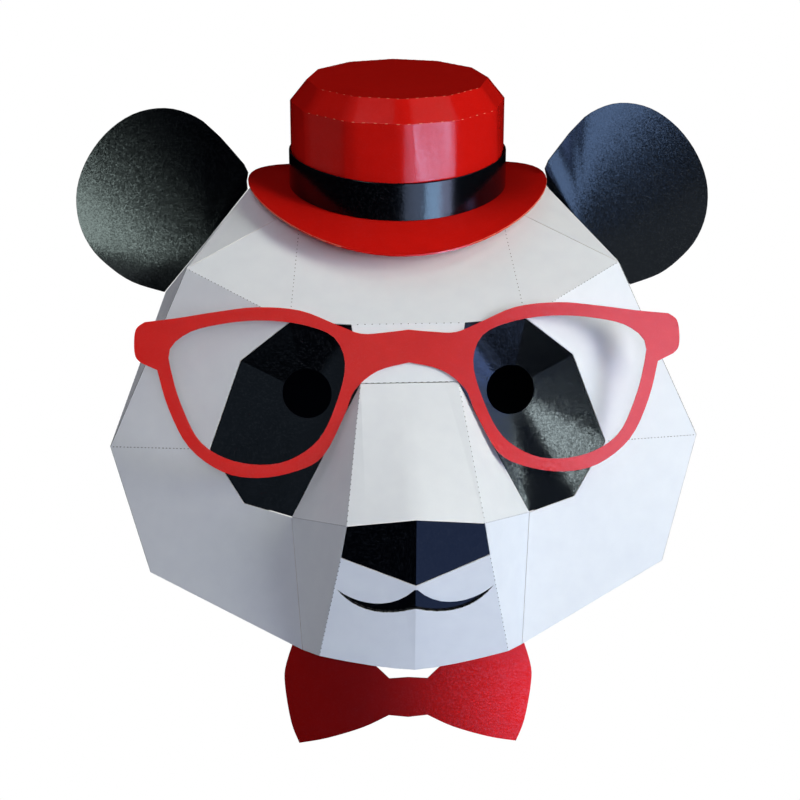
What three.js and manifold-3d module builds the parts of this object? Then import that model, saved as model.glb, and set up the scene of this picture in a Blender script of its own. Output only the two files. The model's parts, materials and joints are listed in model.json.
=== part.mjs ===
// Folded-card panda mask with a red hat, red glasses and a red bow tie.
// Millimetres, +Z up, the face looks along -Y. The origin is the point where the crown of the
// wearer's head meets the inner face of the mask's top panel.
// "left" and "right" in the names of the pieces are the sides that a viewer in front of the mask sees.

import * as THREE from "three";
import { mergeVertices } from "three/addons/utils/BufferGeometryUtils.js";
import Module from "manifold-3d";

// Card and seams
const card = 1.0; // thickness of the card walls
const seam = 0.3; // gap that is left where two glued cards meet

// Head
const headWidth = 291; // over the cheeks, the widest place
const headHeight = 225; // from the top corners down to the point of the chin
const faceDepth = 82; // from the cheeks forward to the tip of the nose
const backDepth = 165; // from the cheeks back to the rear panel

// Eyes, mouth and muzzle
const eyeHoleDiameter = 23.5;
const mouthWidth = 73;
const mouthHeight = 12.2;
const mouthBelowNose = 2.2; // strip of card between the nose and the mouth
const mouthBackingMargin = 4; // how far the card behind the mouth reaches below it
const chinSoftness = 1.4; // 1 is a straight chin edge, more rounds it at the middle

// Ears
const earWidth = 88;
const earHeight = 81.8;
const earLeanAngle = 22; // degrees that the ears lean back
const earCupDepth = 9; // how far the root of an ear lies behind its rim

// Hat
const hatTiltAngle = 13.8; // degrees that the hat tips forward
const hatSideCount = 12;
const stepsPerHatSide = 5; // lets the upright sides follow the curve of the brim
const crownRadius = 54;
const crownHeight = 44; // upright wall at the sides of the head
const crownTopRadius = 45.5;
const crownTopRise = 10.5; // height of the sloping facets under the flat top
const crownBaseDroop = 3.3; // how much lower the wall reaches at front and back
const brimRadius = 76;
const brimSideRise = 3.5;
const brimFrontDroop = 14;
const brimBackDroop = 10;
const brimTuck = 1.5; // how far the brim reaches in under the crown
const bandHeight = 18.5;
const bandCard = 0.7; // the band is a single strip of thinner card
const hatSeatGap = 1; // brim above the head's top corners
const hatSetback = 1.5; // middle of the hat behind the top corners

// Glasses
const glassesWidth = 259;
const glassesHeight = 80.6;
const glassesGap = 0.5; // card of the glasses in front of the bridge of the nose

// Bow tie
const bowWidth = 119.8;
const bowHeight = 58.6;
const bowBelowChinCorner = 18.9; // widest place of the wings under the corners of the chin
const bowOffset = -2.1; // the bow is glued a little to the left
const bowTouchShare = 0.93; // of half its width, where a wing meets the lower edge of the cheek

// Facets that draw the curves
const eyeHoleFacets = 48;
const mouthFacetsPerCurve = 10;
const earRimFacets = 48;
const lensFacets = 56;
const outlineFacetsPerRow = 4;

// Colours of the card
const white = 0xe9edf3;
const black = 0x12161f;
const red = 0xc0121a;

// Corners of the folded head. Columns: side is a share of half the head's width, front and back are
// shares of the face depth and the back depth, down is a share of the head's height.
const cornerTable = {
  browTop: { side: 0.339, back: 0.15, down: 0.033 },
  earTop: { side: 0.522, back: 0.285, down: 0 },
  earLow: { side: 0.818, back: 0.29, down: 0.227 },
  temple: { side: 0.727, front: 0.02, down: 0.16 },
  browInner: { side: 0.187, front: 0.4, down: 0.274 },
  bridge: { side: 0.16, front: 0.452, down: 0.397 },
  browOuter: { side: 0.386, down: 0.267 },
  eyeOuterTop: { side: 0.55, down: 0.351 },
  eyeOuterLow: { side: 0.658, down: 0.54 },
  eyeLow: { side: 0.548, front: 0.36, down: 0.654 },
  eyeInnerLow: { side: 0.392, front: 0.456, down: 0.68 },
  eyeHole: { side: 0.335, front: 0.396, down: 0.418 },
  cheek: { side: 1, front: 0, down: 0.547 },
  jaw: { side: 0.873, front: 0.1, down: 0.822 },
  jawInner: { side: 0.365, down: 0.969 },
  noseTop: { side: 0.219, front: 0.93, down: 0.667 },
  noseLow: { side: 0.238, down: 0.738 },
  chin: { side: 0.311, front: 0.615, down: 0.969 },
  noseTip: { side: 0, front: 1, down: 0.652 },
  noseBase: { side: 0, down: 0.8 },
  chinPoint: { side: 0, front: 0.66, down: 1 },
  crownBack: { side: 0.454, back: 0.636, down: -0.039 },
  sideUpper: { side: 0.81, back: 0.6, down: 0.236 },
  sideMiddle: { side: 0.893, back: 0.6, down: 0.547 },
  sideLower: { side: 0.742, back: 0.576, down: 0.858 },
  backTop: { side: 0.357, back: 1, down: 0.102 },
  backUpper: { side: 0.577, back: 1, down: 0.258 },
  backMiddle: { side: 0.619, back: 1, down: 0.547 },
  backLower: { side: 0.522, back: 1, down: 0.84 },
};

// Columns of folds between the middle of the muzzle and its edge, as shares of that half
const muzzleColumns = [0, 0.2, 0.45, 0.72, 1];

// Right half of the mouth, as two curves with their handles: from the peak in its middle to its tip,
// and from there to the notch. Columns: side is a share of half its width, down of its height.
const mouthUpperEdge = [
  { side: 0.02, down: 0 },
  { side: 0.33, down: 0.97 },
  { side: 0.77, down: 0.6 },
  { side: 1, down: 0.02 },
];
const mouthLowerEdge = [
  { side: 1, down: 0.02 },
  { side: 0.82, down: 0.76 },
  { side: 0.49, down: 1.25 },
  { side: 0, down: 0.8 },
];

// Outline of an ear from its lower root to its upper root. Columns: along the root, as a share of
// half the ear's width, and out from the root, as a share of the ear's height.
const earOutline = [
  { along: -0.78, out: 0 },
  { along: -0.936, out: 0.202 },
  { along: -0.986, out: 0.385 },
  { along: -0.968, out: 0.575 },
  { along: -0.83, out: 0.76 },
  { along: -0.564, out: 0.911 },
  { along: -0.2, out: 0.991 },
  { along: 0.202, out: 0.998 },
  { along: 0.58, out: 0.927 },
  { along: 0.868, out: 0.776 },
  { along: 1.009, out: 0.583 },
  { along: 1.023, out: 0.385 },
  { along: 0.98, out: 0.193 },
  { along: 0.757, out: 0 },
];

// Half outline of the glasses from the middle of their top to the middle of their bottom, in smooth
// stretches that each start where the one before ends. Columns: side is a share of half their width,
// up is a share of their height, measured from the middle of the bridge.
const glassesStretches = {
  brow: [
    { side: 0, up: 0.138 },
    { side: 0.085, up: 0.124 },
    { side: 0.173, up: 0.119 },
    { side: 0.258, up: 0.171 },
    { side: 0.394, up: 0.261 },
    { side: 0.552, up: 0.285 },
    { side: 0.694, up: 0.263 },
    { side: 0.839, up: 0.23 },
    { side: 0.96, up: 0.209 },
  ],
  hinge: [
    { side: 0.992, up: 0.168 },
    { side: 1, up: 0.08 },
    { side: 0.995, up: 0.006 },
    { side: 0.975, up: -0.03 },
  ],
  hingeUnderside: [
    { side: 0.918, up: -0.073 },
  ],
  rim: [
    { side: 0.88, up: -0.298 },
    { side: 0.808, up: -0.528 },
    { side: 0.688, up: -0.675 },
    { side: 0.558, up: -0.715 },
    { side: 0.419, up: -0.679 },
    { side: 0.32, up: -0.592 },
    { side: 0.241, up: -0.36 },
    { side: 0.202, up: -0.213 },
    { side: 0.116, up: -0.102 },
    { side: 0, up: -0.055 },
  ],
};
const lensLine = [
  { side: 0.272, up: 0.099 },
  { side: 0.37, up: 0.171 },
  { side: 0.524, up: 0.206 },
  { side: 0.674, up: 0.192 },
  { side: 0.809, up: 0.137 },
  { side: 0.873, up: 0.041 },
  { side: 0.864, up: -0.107 },
  { side: 0.829, up: -0.298 },
  { side: 0.764, up: -0.502 },
  { side: 0.662, up: -0.605 },
  { side: 0.535, up: -0.639 },
  { side: 0.442, up: -0.612 },
  { side: 0.341, up: -0.505 },
  { side: 0.274, up: -0.306 },
  { side: 0.235, up: -0.045 },
];

// Half outline of the bow, in the same way. Columns: side is a share of half its width, up is a share
// of its height, measured from the widest place of the wings.
const bowStretches = {
  knotTop: [
    { side: 0, up: 0.051 },
    { side: 0.155, up: 0.041 },
  ],
  upperEdge: [
    { side: 0.29, up: 0.171 },
    { side: 0.601, up: 0.427 },
    { side: 0.883, up: 0.5 },
  ],
  end: [
    { side: 0.988, up: 0.179 },
    { side: 1, up: 0 },
    { side: 0.95, up: -0.316 },
    { side: 0.883, up: -0.5 },
  ],
  lowerEdge: [
    { side: 0.656, up: -0.461 },
    { side: 0.366, up: -0.372 },
    { side: 0.157, up: -0.27 },
  ],
  knotBottom: [
    { side: 0, up: -0.287 },
  ],
};

const wasm = await Module();
wasm.setup();

// Materials, one for each piece
function cardMaterial(colour, roughness, metalness) {
  return new THREE.MeshStandardMaterial({ color: colour, roughness, metalness });
}
const whiteCard = () => cardMaterial(white, 0.6, 0);
const blackCard = () => cardMaterial(black, 0.45, 0.3);
const redCard = () => cardMaterial(red, 0.4, 0.2);

function piece(name, geometry, material) {
  const mesh = new THREE.Mesh(geometry, material);
  mesh.name = name;
  return mesh;
}

// Closed bodies and cuts

function closedGeometry(points, triangles) {
  const geometry = new THREE.BufferGeometry();
  geometry.setAttribute("position", new THREE.Float32BufferAttribute(points.flatMap((p) => p.toArray()), 3));
  geometry.setIndex(triangles.flat());
  return geometry;
}

function merged(geometry) {
  const bare = geometry.clone();
  bare.deleteAttribute("normal");
  bare.deleteAttribute("uv");
  return mergeVertices(bare, 1e-4);
}

function toManifold(geometry) {
  const bare = merged(geometry);
  return new wasm.Manifold(new wasm.Mesh({
    numProp: 3,
    vertProperties: Float32Array.from(bare.attributes.position.array),
    triVerts: Uint32Array.from(bare.index.array),
  }));
}

function subtract(geometry, ...tools) {
  let body = toManifold(geometry);
  for (const tool of tools) {
    body = body.subtract(toManifold(tool));
  }
  const mesh = body.getMesh();
  const result = new THREE.BufferGeometry();
  result.setAttribute("position", new THREE.BufferAttribute(Float32Array.from(mesh.vertProperties), 3));
  result.setIndex(new THREE.BufferAttribute(Uint32Array.from(mesh.triVerts), 1));
  return result;
}

// Joins an outer and an inner skin, whose triangles share their numbers, along their open edges
function thicken(outer, inner, triangles) {
  const count = outer.length;
  const directed = new Set(triangles.flatMap(([a, b, c]) => [`${a},${b}`, `${b},${c}`, `${c},${a}`]));
  const walls = [];
  for (const edge of directed) {
    const [a, b] = edge.split(",").map(Number);
    if (!directed.has(`${b},${a}`)) {
      walls.push([b, a, a + count], [b, a + count, b + count]);
    }
  }
  const innerTriangles = triangles.map(([a, b, c]) => [a + count, c + count, b + count]);
  return closedGeometry([...outer, ...inner], [...triangles, ...innerTriangles, ...walls]);
}

// Corners of the head, by name, with R and L for the two sides

const corners = new Map();

function place(row) {
  const depth = row.back === undefined ? -(row.front ?? 0) * faceDepth : row.back * backDepth;
  return new THREE.Vector3(row.side * headWidth / 2, depth, -row.down * headHeight);
}

function setCorner(name, point) {
  if (point.x === 0) {
    corners.set(name, point);
    return;
  }
  corners.set(`${name}R`, point);
  corners.set(`${name}L`, new THREE.Vector3(-point.x, point.y, point.z));
}

function corner(key) {
  return corners.get(key).clone();
}

// Moves a corner along Y onto the flat panel that three other corners set
function setOnPanel(name, ...panelKeys) {
  const plane = new THREE.Plane().setFromCoplanarPoints(...panelKeys.map(corner));
  const point = place(cornerTable[name]);
  point.y -= plane.distanceToPoint(point) / plane.normal.y;
  setCorner(name, point);
}

const derivedCorners = ["browOuter", "eyeOuterTop", "eyeOuterLow", "jawInner", "noseLow", "noseBase"];
for (const [name, row] of Object.entries(cornerTable)) {
  if (!derivedCorners.includes(name)) {
    setCorner(name, place(row));
  }
}
setOnPanel("browOuter", "browTopR", "browInnerR", "browInnerL");
setOnPanel("eyeOuterTop", "templeR", "browOuterR", "cheekR");
setOnPanel("eyeOuterLow", "templeR", "browOuterR", "cheekR");
setOnPanel("jawInner", "eyeInnerLowR", "noseTopR", "chinR");
setOnPanel("noseLow", "eyeInnerLowR", "noseTopR", "chinR");
setOnPanel("noseBase", "noseTopR", "noseTip", "noseLowR");

// Rows of the muzzle's middle strip, from the bridge of the nose down to the chin
const bridgeMiddle = corner("bridgeR").setX(0);
const muzzleRows = {
  bridge: { middle: bridgeMiddle, softness: 1 },
  noseTop: { middle: corner("noseTip"), softness: 1 },
  noseLow: { middle: corner("noseBase"), softness: 1 },
  chin: { middle: corner("chinPoint"), softness: chinSoftness },
};

function muzzleKey(row, column) {
  const last = muzzleColumns.length - 1;
  if (Math.abs(column) === last) {
    return row + (column > 0 ? "R" : "L");
  }
  return `${row}:${column}`;
}

for (const [row, { middle, softness }] of Object.entries(muzzleRows)) {
  const edge = corner(`${row}R`);
  muzzleColumns.slice(0, -1).forEach((share, column) => {
    const fall = share ** softness;
    const point = new THREE.Vector3(
      edge.x * share,
      middle.y + (edge.y - middle.y) * fall,
      middle.z + (edge.z - middle.z) * fall,
    );
    corners.set(`${row}:${column}`, point);
    corners.set(`${row}:${-column}`, new THREE.Vector3(-point.x, point.y, point.z));
  });
}

// Panels: each is a loop of corner keys, whose first corner starts its fan of triangles

function bothSides(...loops) {
  return loops.flatMap((loop) => ["R", "L"].map((side) => loop.map((name) => name + side)));
}

function oneSide(side, ...loops) {
  return loops.map((loop) => loop.map((name) => name + side));
}

function muzzleStrip(upperRow, lowerRow) {
  const last = muzzleColumns.length - 1;
  const loops = [];
  for (let column = -last; column < last; column += 1) {
    loops.push([
      muzzleKey(upperRow, column),
      muzzleKey(lowerRow, column),
      muzzleKey(lowerRow, column + 1),
      muzzleKey(upperRow, column + 1),
    ]);
  }
  return loops;
}

function muzzleRowKeys(row) {
  const last = muzzleColumns.length - 1;
  return Array.from({ length: 2 * last + 1 }, (_, index) => muzzleKey(row, last - index));
}

function eyePatchPanels(side) {
  const rim = ["browInner", "browOuter", "eyeOuterTop", "eyeOuterLow", "eyeLow", "eyeInnerLow", "bridge"];
  return rim.map((name, index) => ["eyeHole", name, rim[(index + 1) % rim.length]].map((key) => key + side));
}

const sidePanels = [
  ["temple", "browTop", "earTop"],
  ["temple", "earTop", "earLow"],
  ["temple", "earLow", "cheek"],
  ["earLow", "earTop", "crownBack", "sideUpper"],
  ["earLow", "sideUpper", "sideMiddle", "cheek"],
  ["cheek", "sideMiddle", "sideLower", "jaw"],
  ["sideUpper", "crownBack", "backTop", "backUpper"],
  ["sideUpper", "backUpper", "backMiddle", "sideMiddle"],
  ["sideMiddle", "backMiddle", "backLower", "sideLower"],
];

const panels = {
  face: [
    ["browTopR", "browOuterR", "browInnerR", "browInnerL", "browOuterL", "browTopL"],
    ["browInnerR", ...muzzleRowKeys("bridge"), "browInnerL"],
    ...bothSides(
      ["temple", "browOuter", "browTop"],
      ["temple", "cheek", "eyeOuterLow", "eyeOuterTop", "browOuter"],
      ["cheek", "jaw", "eyeOuterLow"],
      ["jaw", "eyeLow", "eyeOuterLow"],
      ["jaw", "jawInner", "eyeLow"],
      ["jawInner", "eyeInnerLow", "eyeLow"],
    ),
  ],
  muzzle: [
    ...muzzleStrip("bridge", "noseTop"),
    ...muzzleStrip("noseLow", "chin"),
    ...bothSides(
      ["eyeInnerLow", "bridge", "noseTop"],
      ["eyeInnerLow", "noseTop", "noseLow", "chin", "jawInner"],
    ),
  ],
  nose: muzzleStrip("noseTop", "noseLow"),
  eye_patch_left: eyePatchPanels("L"),
  eye_patch_right: eyePatchPanels("R"),
  head_side_left: oneSide("L", ...sidePanels),
  head_side_right: oneSide("R", ...sidePanels),
  head_top: [
    ["browTopR", "browTopL", "earTopL", "earTopR"],
    ["earTopR", "earTopL", "crownBackL", "crownBackR"],
  ],
  head_back: [
    ["crownBackR", "crownBackL", "backTopL", "backTopR"],
    [
      "backTopR", "backTopL", "backUpperL", "backMiddleL",
      "backLowerL", "backLowerR", "backMiddleR", "backUpperR",
    ],
  ],
};

// Normal of a loop, and the loop turned so that the normal points out of the head
const headMiddle = new THREE.Vector3(0, backDepth / 4, -headHeight / 2);

function loopNormal(loop) {
  const points = loop.map(corner);
  const normal = new THREE.Vector3();
  points.forEach((point, index) => {
    normal.add(point.clone().cross(points[(index + 1) % points.length]));
  });
  return normal.normalize();
}

function facingOut(loop) {
  const outwards = corner(loop[0]).sub(headMiddle);
  return loopNormal(loop).dot(outwards) > 0 ? loop : [loop[0], ...loop.slice(1).reverse()];
}

for (const name of Object.keys(panels)) {
  panels[name] = panels[name].map(facingOut);
}

// Solves for the shortest step whose share along each direction is the wanted one
function stepAlong(wishes) {
  const softness = 1e-3;
  const matrix = new THREE.Matrix3().set(softness, 0, 0, 0, softness, 0, 0, 0, softness);
  const target = new THREE.Vector3();
  for (const { direction: d, length } of wishes) {
    const outer = new THREE.Matrix3().set(
      d.x * d.x, d.x * d.y, d.x * d.z,
      d.y * d.x, d.y * d.y, d.y * d.z,
      d.z * d.x, d.z * d.y, d.z * d.z,
    );
    matrix.elements.forEach((value, index) => {
      matrix.elements[index] = value + outer.elements[index];
    });
    target.addScaledVector(d, length);
  }
  return target.applyMatrix3(matrix.invert());
}

// Step from each outer corner to the inner one, so that cards of neighbouring panels meet in a mitre
const normalsAt = new Map([...corners.keys()].map((key) => [key, []]));
for (const loop of Object.values(panels).flat()) {
  const normal = loopNormal(loop);
  loop.forEach((key) => normalsAt.get(key).push(normal));
}

function inwardStep(key) {
  return stepAlong(normalsAt.get(key).map((normal) => ({ direction: normal, length: -card })));
}

// Step that draws the edge of a piece back from its neighbours by half a seam, along its own panels
function edgeSteps(loops) {
  const directed = new Map();
  for (const loop of loops) {
    const normal = loopNormal(loop);
    loop.forEach((key, index) => {
      const next = loop[(index + 1) % loop.length];
      const inwards = normal.clone().cross(corner(next).sub(corner(key))).normalize();
      directed.set(`${key},${next}`, { key, next, inwards });
    });
  }
  const wishes = new Map();
  for (const { key, next, inwards } of directed.values()) {
    if (!directed.has(`${next},${key}`)) {
      for (const end of [key, next]) {
        wishes.set(end, [...(wishes.get(end) ?? []), { direction: inwards, length: seam / 2 }]);
      }
    }
  }
  for (const loop of loops) {
    const normal = loopNormal(loop);
    for (const key of loop) {
      wishes.get(key)?.push({ direction: normal, length: 0 });
    }
  }
  return new Map([...wishes].map(([key, list]) => [key, stepAlong(list)]));
}

// Card along the panels, with its outer face at a depth inside them
function foldedCard(loops, depth = 0) {
  const keys = [...new Set(loops.flat())];
  const steps = edgeSteps(loops);
  const outer = keys.map((key) => {
    const edgeStep = steps.get(key) ?? new THREE.Vector3();
    return corner(key).add(edgeStep).addScaledVector(inwardStep(key), depth / card);
  });
  const inner = keys.map((key, index) => outer[index].clone().add(inwardStep(key)));
  const number = new Map(keys.map((key, index) => [key, index]));
  const triangles = loops.flatMap((loop) =>
    loop.slice(1, -1).map((key, index) => [loop[0], key, loop[index + 2]].map((k) => number.get(k))));
  return thicken(outer, inner, triangles);
}

// Cuts through the card

function eyeHoleCutter(side) {
  const normal = normalsAt.get(`eyeHole${side}`)
    .reduce((sum, n) => sum.add(n), new THREE.Vector3())
    .normalize();
  const radius = eyeHoleDiameter / 2;
  const cutter = new THREE.CylinderGeometry(radius, radius, 2 * radius, eyeHoleFacets);
  cutter.applyQuaternion(new THREE.Quaternion().setFromUnitVectors(new THREE.Vector3(0, 1, 0), normal));
  return cutter.translate(...corner(`eyeHole${side}`).toArray());
}

function mouthCutter() {
  const half = [mouthUpperEdge, mouthLowerEdge].flatMap((rows) => {
    const handles = rows.map((row) => new THREE.Vector2(row.side * mouthWidth / 2, -row.down * mouthHeight));
    return new THREE.CubicBezierCurve(...handles).getPoints(mouthFacetsPerCurve);
  });
  const shape = new THREE.Shape([...half, ...mirrored(half)]);
  const reach = faceDepth;
  const cutter = new THREE.ExtrudeGeometry(shape, { depth: reach, bevelEnabled: false });
  cutter.rotateX(Math.PI / 2);
  const top = corner("noseBase");
  return cutter.translate(0, top.y + reach / 2, top.z - mouthBelowNose);
}

const cuts = {
  muzzle: [mouthCutter()],
  eye_patch_left: [eyeHoleCutter("L")],
  eye_patch_right: [eyeHoleCutter("R")],
};
const blackPieces = ["nose", "eye_patch_left", "eye_patch_right"];

// Card glued behind the strip under the nose, which ends a little below the mouth
function mouthBackingGeometry() {
  const sheet = foldedCard(muzzleStrip("noseLow", "chin").map(facingOut), card + seam);
  const lowerEdge = corner("noseBase").z - mouthBelowNose - mouthHeight - mouthBackingMargin;
  const below = new THREE.BoxGeometry(headWidth, 2 * faceDepth, headHeight);
  return subtract(sheet, below.translate(0, 0, lowerEdge - headHeight / 2));
}

function buildHead() {
  const group = new THREE.Group();
  for (const [name, loops] of Object.entries(panels)) {
    const sheet = foldedCard(loops);
    const geometry = cuts[name] ? subtract(sheet, ...cuts[name]) : sheet;
    group.add(piece(name, geometry, blackPieces.includes(name) ? blackCard() : whiteCard()));
  }
  group.add(piece("mouth_backing", mouthBackingGeometry(), blackCard()));
  return group;
}

// Ears: each is a cone of card whose tip lies behind the middle of its root

function earGeometry(side) {
  const top = corner(`earTop${side}`);
  const low = corner(`earLow${side}`);
  const root = top.clone().add(low).divideScalar(2);
  const along = top.clone().sub(low).normalize();
  const behind = corner(`crownBack${side}`).add(corner(`sideUpper${side}`)).divideScalar(2).sub(root);
  behind.projectOnPlane(along).normalize();
  const outwards = behind.clone().cross(along).normalize();
  if (outwards.x * root.x < 0) {
    outwards.negate();
  }
  const lean = THREE.MathUtils.degToRad(earLeanAngle);
  const out = outwards.clone().multiplyScalar(Math.cos(lean)).addScaledVector(behind, Math.sin(lean));
  const clearance = seam + card * Math.sin(lean);
  root.addScaledVector(outwards, clearance);

  const toRim = (p) => root.clone().addScaledVector(along, p.x).addScaledVector(out, p.y);
  const outline = new THREE.SplineCurve(
    earOutline.map((row) => new THREE.Vector2(row.along * earWidth / 2, row.out * earHeight)),
  );
  const rim = outline.getSpacedPoints(earRimFacets).map(toRim);
  const tip = root.clone().addScaledVector(behind, earCupDepth);
  const back = along.clone().cross(out).normalize();
  if (back.dot(behind) < 0) {
    back.negate();
  }
  const front = [tip, ...rim];
  const rear = front.map((point) => point.clone().addScaledVector(back, card));
  const triangles = rim.slice(1).map((_, index) =>
    (side === "R" ? [0, index + 1, index + 2] : [0, index + 2, index + 1]));
  return thicken(front, rear, triangles);
}

function buildEars() {
  const group = new THREE.Group();
  group.add(piece("ear_left", earGeometry("L"), blackCard()));
  group.add(piece("ear_right", earGeometry("R"), blackCard()));
  return group;
}

// Hat: bodies of revolution about Z, whose lower edges follow the saddle of the brim

function saddleLevel(x, y) {
  const radius = Math.hypot(x, y);
  if (radius === 0) {
    return 0;
  }
  const frontShare = (y / radius) ** 2;
  const atCrown = -crownBaseDroop * frontShare;
  const rimDroop = y < 0 ? brimFrontDroop : brimBackDroop;
  const atRim = brimSideRise * (1 - frontShare) - rimDroop * frontShare;
  const share = (radius - crownRadius) / (brimRadius - crownRadius);
  return atCrown + (atRim - atCrown) * share;
}

// Turns a profile of radius and height. Points at the heights that are flat come in onto the sides
// between the hat's corners, and those at the heights that follow the saddle move up or down with it.
function turned(profile, { flat, follows }) {
  const lathe = new THREE.LatheGeometry(
    profile.map(([radius, height]) => new THREE.Vector2(radius, height)),
    hatSideCount * stepsPerHatSide,
  );
  lathe.rotateX(Math.PI / 2);
  const geometry = merged(lathe);
  const position = geometry.attributes.position;
  for (let index = 0; index < position.count; index += 1) {
    const z = position.getZ(index);
    const share = flat(z) ? flatSideShare(position.getX(index), position.getY(index)) : 1;
    const x = position.getX(index) * share;
    const y = position.getY(index) * share;
    position.setXYZ(index, x, y, follows(z) ? z + saddleLevel(x, y) : z);
  }
  return geometry;
}

// How far a point on a circle has to come in to lie on the flat sides between the hat's corners
function flatSideShare(x, y) {
  const halfSide = Math.PI / hatSideCount;
  const turn = THREE.MathUtils.euclideanModulo(Math.atan2(x, -y), 2 * halfSide);
  return Math.cos(halfSide) / Math.cos(turn - halfSide);
}

// The wall of the crown is round at its foot and has flat sides under its shoulders
function crownGeometry() {
  const top = crownHeight + crownTopRise;
  const slope = Math.atan2(crownTopRise, crownRadius - crownTopRadius);
  const cornerWall = card / Math.cos(Math.PI / hatSideCount);
  const profile = [
    [0, top - card],
    [crownTopRadius - card * Math.tan(slope / 2), top - card],
    [crownRadius - cornerWall, crownHeight - card * Math.tan((Math.PI / 2 - slope) / 2)],
    [crownRadius - card, seam],
    [crownRadius, seam],
    [crownRadius, crownHeight],
    [crownTopRadius, top],
    [0, top],
  ];
  const isFoot = (z) => z < crownHeight / 2;
  return turned(profile, { flat: (z) => !isFoot(z), follows: isFoot });
}

function bandGeometry() {
  const inner = crownRadius + seam;
  const profile = [
    [inner, seam],
    [inner + bandCard, seam],
    [inner + bandCard, seam + bandHeight],
    [inner, seam + bandHeight],
    [inner, seam],
  ];
  return turned(profile, { flat: () => false, follows: () => true });
}

function brimGeometry() {
  const inner = crownRadius - brimTuck;
  const profile = [
    [inner, -card],
    [brimRadius, -card],
    [brimRadius, 0],
    [inner, 0],
    [inner, -card],
  ];
  return turned(profile, { flat: () => false, follows: () => true });
}

function buildHat() {
  const group = new THREE.Group();
  group.add(piece("hat_crown", crownGeometry(), redCard()));
  group.add(piece("hat_band", bandGeometry(), blackCard()));
  group.add(piece("hat_brim", brimGeometry(), redCard()));
  const seat = corner("earTopR");
  group.position.set(0, seat.y + hatSetback, seat.z + hatSeatGap + card);
  group.rotation.x = THREE.MathUtils.degToRad(hatTiltAngle);
  return group;
}

// Flat cut-outs: glasses and bow tie

function scaled(rows, halfWidth, height) {
  return rows.map((row) => new THREE.Vector2(row.side * halfWidth, row.up * height));
}

// Points along the smooth stretches of a half outline
function halfOutline(stretches, halfWidth, height) {
  const points = [];
  for (const rows of Object.values(stretches)) {
    const knots = [...points.slice(-1), ...scaled(rows, halfWidth, height)];
    const facets = outlineFacetsPerRow * (knots.length - 1);
    const stretch = knots.length > 2 ? new THREE.SplineCurve(knots).getPoints(facets) : knots;
    points.push(...stretch.slice(points.length ? 1 : 0));
  }
  return points;
}

function mirrored(points) {
  return points.map((point) => new THREE.Vector2(-point.x, point.y)).reverse();
}

// Closed shape of a half outline and its mirror image, which share their first and last points. It
// runs anticlockwise, because only then does the extrusion put its holes the right way round.
function mirroredShape(half) {
  return new THREE.Shape([...half, ...mirrored(half).slice(1, -1)].reverse());
}

function cutOut(shape) {
  return new THREE.ExtrudeGeometry(shape, { depth: card, bevelEnabled: false });
}

function glassesGeometry() {
  const half = glassesWidth / 2;
  const shape = mirroredShape(halfOutline(glassesStretches, half, glassesHeight));
  const knots = scaled(lensLine, half, glassesHeight).map((point) => new THREE.Vector3(point.x, point.y, 0));
  const lens = new THREE.CatmullRomCurve3(knots, true)
    .getSpacedPoints(lensFacets)
    .slice(0, -1)
    .map((point) => new THREE.Vector2(point.x, point.y));
  shape.holes.push(new THREE.Path(lens), new THREE.Path(mirrored(lens)));
  return cutOut(shape);
}

function bowGeometry() {
  return cutOut(mirroredShape(halfOutline(bowStretches, bowWidth / 2, bowHeight)));
}

function buildGlasses() {
  const high = corner("browInnerR").setX(0);
  const low = corner("bridgeR").setX(0);
  const lean = Math.atan2(high.y - low.y, high.z - low.z);
  const mesh = piece("glasses", glassesGeometry(), redCard());
  mesh.rotation.x = Math.PI / 2 - lean;
  const forward = new THREE.Vector3(0, -Math.cos(lean), Math.sin(lean));
  mesh.position.copy(high.add(low).divideScalar(2)).addScaledVector(forward, glassesGap);
  return mesh;
}

// The bow is glued behind the lower edge of the cheeks, where the side of one wing touches
function buildBowTie() {
  const cheekPanel = new THREE.Plane().setFromCoplanarPoints(
    corner("jawR"), corner("jawInnerR"), corner("eyeLowR"));
  if (cheekPanel.normal.y > 0) {
    cheekPanel.negate();
  }
  const chinHeight = corner("chinR").z;
  const touch = new THREE.Vector3(bowTouchShare * bowWidth / 2 - bowOffset, 0, chinHeight);
  touch.y = cheekPanel.distanceToPoint(touch) / -cheekPanel.normal.y;
  const behindCheek = (card + seam) / -cheekPanel.normal.y;
  const mesh = piece("bow_tie", bowGeometry(), redCard());
  mesh.rotation.x = Math.PI / 2;
  mesh.position.set(bowOffset, touch.y + behindCheek + card, chinHeight - bowBelowChinCorner);
  return mesh;
}

// The whole mask, moved so that the seat of the wearer's head is the origin

function headSeat() {
  const panel = new THREE.Plane().setFromCoplanarPoints(
    corner("earTopR"), corner("crownBackR"), corner("crownBackL"));
  const seat = corner("earTopR").add(corner("crownBackR")).divideScalar(2).setX(0);
  return seat.addScaledVector(panel.normal, panel.normal.z > 0 ? -card : card);
}

const mask = new THREE.Group();
mask.add(buildHead(), buildEars(), buildHat(), buildGlasses(), buildBowTie());
mask.position.copy(headSeat().negate());

export default mask;
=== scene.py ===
"""Looks of the folded-card panda mask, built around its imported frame.

Lengths are in metres unless a name or a comment says millimetres. +Z is up, the face looks
along -Y, and left and right are the sides that a viewer in front of the mask sees.
"""

import json
import logging
import math
import random
from dataclasses import dataclass, field
from enum import Enum

import bmesh
import bpy
import numpy as np
from mathutils import Matrix, Vector
from mathutils.bvhtree import BVHTree
from mathutils.geometry import delaunay_2d_cdt

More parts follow.
